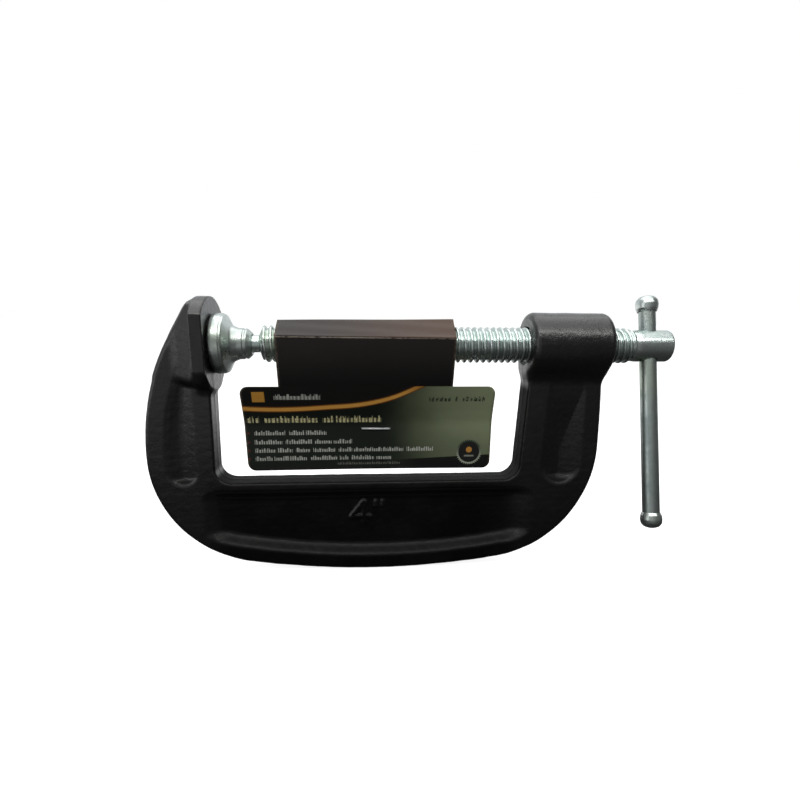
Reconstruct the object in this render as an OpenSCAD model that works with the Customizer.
// C-clamp: cast I-section frame, threaded screw with swivel pad and sliding
// cross handle, and the folded hang card stapled round the screw.
// Millimetres, +Z up. Origin: centre of the anvil's clamping face, on the screw
// axis. +X runs along the screw towards the handle, +Y from front to back.

/* [Frame] */
// Width of the frame's flanges, front to back
flange_t = 11.2; // [9:0.1:14]
// Depth of the recess on each side of the web
pocket_d = 3.3; // [1.5:0.1:3.8]
// Anvil face to boss face
jaw_reach = 121.5; // [110:0.5:130]
// Screw axis down to the spine's inner face
throat_depth = 54.5; // [46:0.5:58]
// Length of the threaded boss
boss_len = 32.3; // [26:0.1:36]
// Diameter of the threaded boss
boss_d = 25.4; // [21:0.1:28]
// Rounding of the boss rims
boss_round = 2.2; // [0.5:0.1:3]

/* [Anvil] */
// Diameter of the anvil disc before its sides are cut flat
anvil_d = 37.6; // [30:0.1:42]
// Width across the anvil's flat sides
anvil_w = 28.4; // [22:0.1:32]
// Thickness of the anvil plate
anvil_t = 5.4; // [4:0.1:7]

/* [Outline] */
// Radius of the left arm's outer curve
arm_r = 92.8; // [85:0.1:100]
// Radius of the spine's outer curve
spine_r = 324; // [280:1:380]
// Radius of the right arm's outer curve
back_r = 400; // [300:5:600]
// Radius of the lower corner under the anvil arm
corner_l = 44.8; // [38:0.1:50]
// Radius of the lower corner under the boss arm
corner_r = 48.2; // [40:0.1:52]

/* [Screw] */
// Outside diameter of the thread
screw_d = 14; // [12:0.1:15]
// Thread pitch, ten to the inch
pitch = 2.54; // [2:0.01:3.5]
// Thread depth
thread_h = 1.15; // [0.8:0.05:1.4]
// Diameter of the head that carries the handle
head_d = 12.7; // [11:0.1:14]
// Length of the head
head_len = 17.9; // [14:0.1:20]
// Diameter of the neck behind the swivel ball
neck_d = 6.4; // [5:0.1:7]
// Diameter of the swivel ball
ball_d = 8.2; // [7.4:0.1:8.6]

/* [Swivel pad] */
// Diameter of the pad's flange
pad_d = 22.8; // [18:0.1:25]
// Thickness of the pad's flange
pad_t = 4.1; // [2:0.1:5]
// Diameter of the pad's hub
hub_d = 11.8; // [11:0.1:13]
// Gap between the pad and the anvil with the screw run home
pad_gap = 0.4; // [0.2:0.1:2]

/* [Handle] */
// Diameter of the sliding bar
bar_d = 6.5; // [5:0.1:7]
// Clear length of the bar between its two end caps
bar_free = 81.5; // [70:0.5:100]
// Diameter of the upper end cap
cap_d = 8.8; // [7.8:0.1:10]
// Diameter of the lower end cap
cap_low_d = 8.3; // [7.8:0.1:10]
// Length of an end cap
cap_len = 6.4; // [5:0.1:8]
// Clear gap between the head and the upper cap
upper_gap = 7.6; // [1:0.1:20]
// Lean of the handle's upper end towards the back, degrees
handle_lean = 14.7; // [0:0.1:30]

/* [Hang card] */
// Width of the card's lower panel
card_w = 99.6; // [80:0.1:102]
// Width of the sleeve that wraps the screw
sleeve_w = 67.8; // [50:0.1:80]
// Thickness of one ply of card
card_t = 0.5; // [0.3:0.1:0.8]
// Lower edge of the card, below the screw axis
card_drop = 50.7; // [45:0.1:52]

/* [Hidden] */
$fn = 64;

iron = [0.13, 0.12, 0.115];
zinc = [0.80, 0.83, 0.84];
card_colour = [0.12, 0.13, 0.10];
wire_colour = [0.72, 0.73, 0.74];

run_clear = 0.05; // radial clearance round the screw and the handle bar
extra = 1; // how far a cutter or a joined part runs past its face

// outline: outermost points of the frame and centres of its three large arcs
left_edge_x = -27.9;
right_edge_x = jaw_reach + 32.2;
bottom_z = -throat_depth - 39.05;
arm_mid_z = -44;
boss_arm_top_z = 5;
arm_c = [left_edge_x + arm_r, arm_mid_z];
spine_c = [63.5, bottom_z + spine_r];
back_c = [right_edge_x - back_r, arm_mid_z];
anvil_drop = 1.2; // anvil disc's centre below the screw axis

// throat: its arms lean a little, as cast; each wall passes through [x, z]
left_wall = [-1.1, -18];
right_wall = [jaw_reach + 0.9, -17];
left_lean = 0.95;
right_lean = 2.5;
throat_r = 6;

// pad and screw stations along X
pad_x = pad_gap;
ball_x = pad_x + 8.6;
thread_x0 = pad_x + 17.4;
thread_x1 = jaw_reach + 39.9;
runout = 1.2;
head_x0 = thread_x1 + runout;
hole_x = head_x0 + head_len - 8;
screw_r = screw_d / 2;
core_r = screw_r - thread_h;

// ---- Plane geometry ----

function unit(v) = v / norm(v);
function heading(v) = let (a = atan2(v[1], v[0])) a < 0 ? a + 360 : a;
function but_last(points) = [for (i = [0:len(points) - 2]) points[i]];

// points along an arc in equal steps, both ends included
function arc(centre, r, from, to, steps) =
    [for (i = [0:steps]) let (a = from + (to - from) * i / steps) centre + r * [cos(a), sin(a)]];

// lowest point of a circle at station x, and leftmost point at height z
function lowest(x, centre, r) = [x, centre[1] - sqrt(r * r - pow(x - centre[0], 2))];
function leftmost(z, centre, r) = [centre[0] - sqrt(r * r - pow(z - centre[1], 2)), z];

// centre of the circle of radius r that touches two larger circles from inside, lower solution
function inner_centre(c1, r1, c2, r2, r) =
    let (reach1 = r1 - r,
         reach2 = r2 - r,
         gap = norm(c2 - c1),
         along = (reach1 * reach1 - reach2 * reach2 + gap * gap) / (2 * gap),
         across = sqrt(reach1 * reach1 - along * along),
         dir = unit(c2 - c1),
         foot = c1 + along * dir,
         offset_v = across * [-dir[1], dir[0]],
         p = foot + offset_v,
         q = foot - offset_v)
    p[1] < q[1] ? p : q;

// corner of a polygon inset by t: before, corner and after run anticlockwise
function inset(before, corner, after, t) =
    let (u = unit(corner - before),
         v = unit(after - corner),
         normal_u = [-u[1], u[0]],
         normal_v = [-v[1], v[0]])
    corner + t * (normal_u + normal_v) / (1 + normal_u * normal_v);

// where the line through p and q meets the line through r and s
function meet(p, q, r, s) =
    let (u = q - p, v = s - r, w = r - p)
    p + u * (w[0] * v[1] - w[1] * v[0]) / (u[0] * v[1] - u[1] * v[0]);

// x at height z of a throat wall through a point
function wall_x(point, lean, z) = point[0] + (z - point[1]) * tan(lean);

// ---- Placing helpers ----

// 2D shape given in X and Z, as a plate of the given width centred on y
module plate(width, y = 0)
    translate([0, y + width / 2, 0]) rotate([90, 0, 0]) linear_extrude(width) children();

// turns a profile of (radius, station) about the X axis
module turned() rotate([0, 90, 0]) rotate_extrude() children();

// section given in Y and Z, extruded along +X
module along_x(length) rotate([90, 0, 90]) linear_extrude(length) children();

// cylinder along +X from station x
module rod(x, length, diameter, z = 0)
    translate([x, 0, z]) rotate([0, 90, 0]) cylinder(h = length, d = diameter);

// half profile of a turned disc or bar with rounded rims at both ends
module rounded_profile(start, radius, length, near_round, far_round, facets = 24)
    translate([0, start]) {
        square([radius - near_round, length]);
        translate([0, near_round]) square([radius, length - near_round - far_round]);
        translate([radius - near_round, near_round]) circle(near_round, $fn = facets);
        translate([radius - far_round, length - far_round]) circle(far_round, $fn = facets);
    }

// ---- Frame ----

// outer outline: three large arcs joined by two corner arcs tangent to them
module outline() {
    left_c = inner_centre(arm_c, arm_r, spine_c, spine_r, corner_l);
    right_c = inner_centre(back_c, back_r, spine_c, spine_r, corner_r);
    arm_top = 180 - asin((anvil_d / 2 - anvil_drop - arm_c[1]) / arm_r);
    arm_end = heading(left_c - arm_c);
    spine_start = heading(left_c - spine_c);
    spine_end = heading(right_c - spine_c);
    back_start = 360 + asin(unit(right_c - back_c)[1]);
    back_top = 360 + asin((boss_arm_top_z - back_c[1]) / back_r);
    polygon(concat(
        but_last(arc(arm_c, arm_r, arm_top, arm_end, 14)),
        but_last(arc(left_c, corner_l, arm_end, spine_start, 24)),
        but_last(arc(spine_c, spine_r, spine_start, spine_end, 14)),
        but_last(arc(right_c, corner_r, spine_end, back_start, 24)),
        arc(back_c, back_r, back_start, back_top, 5)));
}

// opening between the arms, with its two rounded lower corners
module throat() {
    top_z = 40;
    floor_z = -throat_depth;
    left_x = wall_x(left_wall, left_lean, floor_z) + throat_r * tan(45 + left_lean / 2);
    right_x = wall_x(right_wall, right_lean, floor_z) - throat_r * tan(45 + right_lean / 2);
    polygon(concat(
        [[wall_x(left_wall, left_lean, top_z), top_z]],
        arc([left_x, floor_z + throat_r], throat_r, 180 - left_lean, 270, 10),
        arc([right_x, floor_z + throat_r], throat_r, 270, 360 + right_lean, 10),
        [[wall_x(right_wall, right_lean, top_z), top_z]]));
}

// recess in the spine: straight above, bowed below, rounded ends
module spine_pocket() {
    left = -3;
    right = jaw_reach + 1.5;
    top_r = 5.5;
    low_r = 3;
    top_c_z = -throat_depth - 4 - top_r;
    bow_r = spine_r - 6.9;
    left_c = lowest(left + low_r, spine_c, bow_r - low_r);
    right_c = lowest(right - low_r, spine_c, bow_r - low_r);
    bow_start = heading(left_c - spine_c);
    bow_end = heading(right_c - spine_c);
    trim = 0.3; // degrees taken off each end of the bow
    polygon(concat(
        arc([left + top_r, top_c_z], top_r, 90, 180, 8),
        arc(left_c, low_r, 180, bow_start, 5),
        arc(spine_c, bow_r, bow_start + trim, bow_end - trim, 16),
        arc(right_c, low_r, bow_end, 360, 5),
        arc([right - top_r, top_c_z], top_r, 0, 90, 8)));
}

// recess in the anvil arm: follows the arm's outer curve, narrows upwards
module arm_pocket() {
    rim = 7.6;
    inner_x = left_wall[0] - 7.3;
    low_z = 5.1 - throat_depth;
    high_z = -5;
    steps = 10;
    side = [for (i = [0:steps])
        leftmost(high_z + (low_z - high_z) * i / steps, arm_c, arm_r - rim)];
    end_r = (inner_x - side[steps][0]) / 2;
    polygon(concat(
        side,
        arc([inner_x - end_r, low_z], end_r, 180, 360, 16),
        arc([-8.7, high_z], 1.5, 0, 90, 4)));
}

// recess in the boss arm: rounded below, runs up under the boss
module boss_pocket() {
    low_z = 6.1 - throat_depth;
    high_z = -boss_d / 2 - 2.8;
    inner_x = jaw_reach + 8.4;
    outer_x = right_edge_x - 7.5;
    end_r = (outer_x - inner_x) / 2;
    polygon(concat(
        [[inner_x + 1.2, high_z], [inner_x, low_z]],
        but_last(arc([inner_x + end_r, low_z], end_r, 180, 360, 16)),
        [[outer_x, low_z], [outer_x - 0.9, high_z]]));
}

// disc cut flat at front and back, its underside trimmed by a raised circle
module anvil() {
    cut_x = -anvil_t - extra;
    cut_len = anvil_t + 2 * extra;
    intersection() {
        rod(-anvil_t, anvil_t, anvil_d, z = -anvil_drop, $fn = 96);
        rod(cut_x, cut_len, anvil_d, z = 1.3, $fn = 96);
        translate([cut_x, -anvil_w / 2, -anvil_d]) cube([cut_len, anvil_w, 2 * anvil_d]);
    }
}

// raised numeral 4 and inch sign on the front of the web
module size_mark() {
    height = 10;
    stroke = 1.5;
    stem_x = 6.2;
    bar_z = 2.6;
    tick = [1, 3];
    plate(0.5, -flange_t / 2 + pocket_d - 0.2) translate([50.5, -73.3]) {
        translate([stem_x, 0]) square([stroke, height]);
        translate([0, bar_z]) square([9.6, stroke]);
        polygon([[0, bar_z], [stroke * 1.25, bar_z],
            [stem_x + stroke, height], [stem_x - 0.3, height]]);
        for (x = [11.6, 14.2]) translate([x, height - tick[1]]) square(tick);
    }
}

module frame() color(iron) {
    difference() {
        union() {
            difference() {
                plate(flange_t) difference() {
                    outline();
                    throat();
                }
                for (side = [-1, 1])
                    plate(pocket_d + extra, side * (flange_t - pocket_d + extra) / 2) {
                        arm_pocket();
                        boss_pocket();
                        spine_pocket();
                    }
            }
            anvil();
            translate([jaw_reach, 0, 0]) turned()
                rounded_profile(0, boss_d / 2, boss_len, boss_round, boss_round, facets = 32);
        }
        rod(jaw_reach - 5, boss_len + 10, screw_d + 2 * run_clear);
    }
    size_mark();
}

// ---- Screw ----

// one ring of the thread: flat crest, two flanks, root sunk slightly into the core
module thread_ring(z) {
    root_r = core_r - 0.001;
    crest = pitch * 0.2;
    polygon([[root_r, z], [screw_r, z + (pitch - crest) / 2],
        [screw_r, z + (pitch + crest) / 2], [root_r, z + pitch]]);
}

module screw() color(zinc) {
    thread_len = thread_x1 - thread_x0;
    rings = floor(thread_len / pitch);
    head_round = 0.9;
    runout_end = runout + 0.01;
    difference() {
        union() {
            translate([thread_x0, 0, 0]) turned() {
                square([core_r, thread_len + extra]);
                for (i = [0:rings - 1]) thread_ring(i * pitch);
            }
            // neck and ball that the pad turns on
            rod(ball_x, thread_x0 - ball_x + extra, neck_d, $fn = 32);
            translate([ball_x, 0, 0]) sphere(d = ball_d, $fn = 40);
            // tapered run-out, then the head with rounded ends
            translate([thread_x1, 0, 0]) turned() {
                polygon([[0, 0], [core_r, 0], [core_r - 0.4, runout_end], [0, runout_end]]);
                rounded_profile(runout, head_d / 2, head_len, head_round, head_round);
            }
        }
        on_handle() translate([0, 0, -head_d])
            cylinder(h = 2 * head_d, r = bar_d / 2 + run_clear, $fn = 48);
    }
}

// ---- Swivel pad ----

module swivel_pad() color(zinc) {
    hub_r = hub_d / 2;
    fillet_r = 2.2;
    fillet_sink = 0.1;
    hub_len = 14.2;
    lip_r = hub_r - 0.15;
    lip_x = 12.3; // the hub steps in here to the lip
    difference() {
        translate([pad_x, 0, 0]) turned() difference() {
            union() {
                rounded_profile(0, pad_d / 2, pad_t, 0.8, 0.7);
                square([hub_r, lip_x + 0.1]);
                // concave fillet from the flange into the hub
                difference() {
                    translate([0, pad_t - fillet_sink])
                        square([hub_r + fillet_r, fillet_r + fillet_sink]);
                    translate([hub_r + fillet_r, pad_t + fillet_r]) circle(fillet_r, $fn = 48);
                }
                polygon([[0, lip_x], [lip_r, lip_x], [lip_r, lip_x + 0.3],
                    [hub_r - 1.5, hub_len], [0, hub_len]]);
            }
            // crimp groove near the lip
            translate([hub_r, 11.2]) circle(0.55, $fn = 16);
        }
        translate([ball_x, 0, 0]) sphere(d = ball_d + 0.2, $fn = 40);
        rod(ball_x, 10, neck_d + 0.5, $fn = 32);
    }
}

// ---- Handle ----

bar_top = head_d / 2 + upper_gap;
bar_low = bar_top - bar_free;
cap_sink = 4.4; // how far the bar reaches into each cap

// places children on the handle's axis: z = 0 on the screw axis, +z up the bar
module on_handle() translate([hole_x, 0, 0]) rotate([-handle_lean, 0, 0]) children();

module handle_bar() color(zinc) on_handle()
    translate([0, 0, bar_low - cap_sink])
        cylinder(h = bar_free + 2 * cap_sink, d = bar_d, $fn = 48);

// end cap: rounded shoulder rim, straight skirt, domed end
module cap(diameter) {
    radius = diameter / 2;
    rim_r = 0.3;
    dome_r = 5.2;
    skirt = cap_len - 3.4;
    difference() {
        rotate_extrude($fn = 64) {
            square([radius - rim_r, skirt]);
            translate([0, rim_r]) square([radius, skirt - rim_r]);
            intersection() {
                translate([0, cap_len - dome_r]) circle(dome_r, $fn = 64);
                square([radius, cap_len]);
            }
            translate([radius - rim_r, rim_r]) circle(rim_r, $fn = 16);
        }
        translate([0, 0, -extra]) cylinder(h = extra + cap_sink, d = bar_d, $fn = 48);
    }
}

module handle_cap_upper() color(zinc) on_handle() translate([0, 0, bar_top]) cap(cap_d);

module handle_cap_lower() color(zinc) on_handle()
    translate([0, 0, bar_low]) mirror([0, 0, 1]) cap(cap_low_d);

// ---- Hang card ----

// section of the folded card in Y and Z: a tab with a ridged top goes over the
// screw and comes down behind, where it is stapled to the panel
fold_front = [-9.2, 4.4];
fold_ridge = [0.1, 9.6];
fold_back = [9.2, 4.4];
join_z = -31;
join_front = [-card_t, join_z];
join_back = [card_t, join_z];
tail_z = -40;
card_x = 59.2;
card_top = -16;
sleeve_x = card_x - 1.5;

// ring of the sleeve down to where the plies meet, and the tail behind the panel
module sleeve_section() {
    below = [0, -extra];
    loop = [fold_front, meet(fold_front, join_front, fold_back, join_back),
        fold_back, fold_ridge];
    difference() {
        polygon([fold_front, join_front, join_front + below, join_back + below, join_back,
            fold_back, fold_ridge]);
        polygon([for (i = [0:3]) inset(loop[(i + 3) % 4], loop[i], loop[(i + 1) % 4], card_t)]);
    }
    translate([0, tail_z]) square([card_t, join_z - tail_z]);
}

// the front ply alone
module panel_section() {
    dir = unit(join_front - fold_front);
    ply = [-dir[1], dir[0]] * card_t;
    low_z = -card_drop - extra;
    polygon([fold_front, join_front, [-card_t, low_z], [0, low_z], [0, join_z],
        fold_front + ply]);
}

// front view of the panel, with rounded corners
module panel_front() {
    r = 3.2;
    left = card_x - card_w / 2;
    height = card_drop + card_top;
    translate([left + r, -card_drop]) square([card_w - 2 * r, height]);
    translate([left, -card_drop + r]) square([card_w, height - 2 * r]);
    for (x = [left + r, left + card_w - r], z = [-card_drop + r, card_top - r])
        translate([x, z]) circle(r, $fn = 32);
}

module hang_card() color(card_colour) {
    translate([sleeve_x - sleeve_w / 2, 0, 0]) along_x(sleeve_w) sleeve_section();
    intersection() {
        along_x(120) panel_section();
        plate(40) panel_front();
    }
}

// wire staple through both plies, legs turned in behind
module card_staple() color(wire_colour) {
    width = 11.7;
    wire = 0.6;
    leg = 4.8;
    front_y = -card_t - wire;
    translate([61.4, 0, -33.6 - wire / 2]) {
        translate([-width / 2, front_y, 0]) cube([width, wire, wire]);
        for (side = [-1, 1]) {
            translate([side * (width - wire) / 2 - wire / 2, front_y, 0])
                cube([wire, 2 * (card_t + wire), wire]);
            translate([side * (width - leg) / 2 - leg / 2, card_t, 0]) cube([leg, wire, wire]);
        }
    }
}

frame();
screw();
swivel_pad();
handle_bar();
handle_cap_upper();
handle_cap_lower();
hang_card();
card_staple();
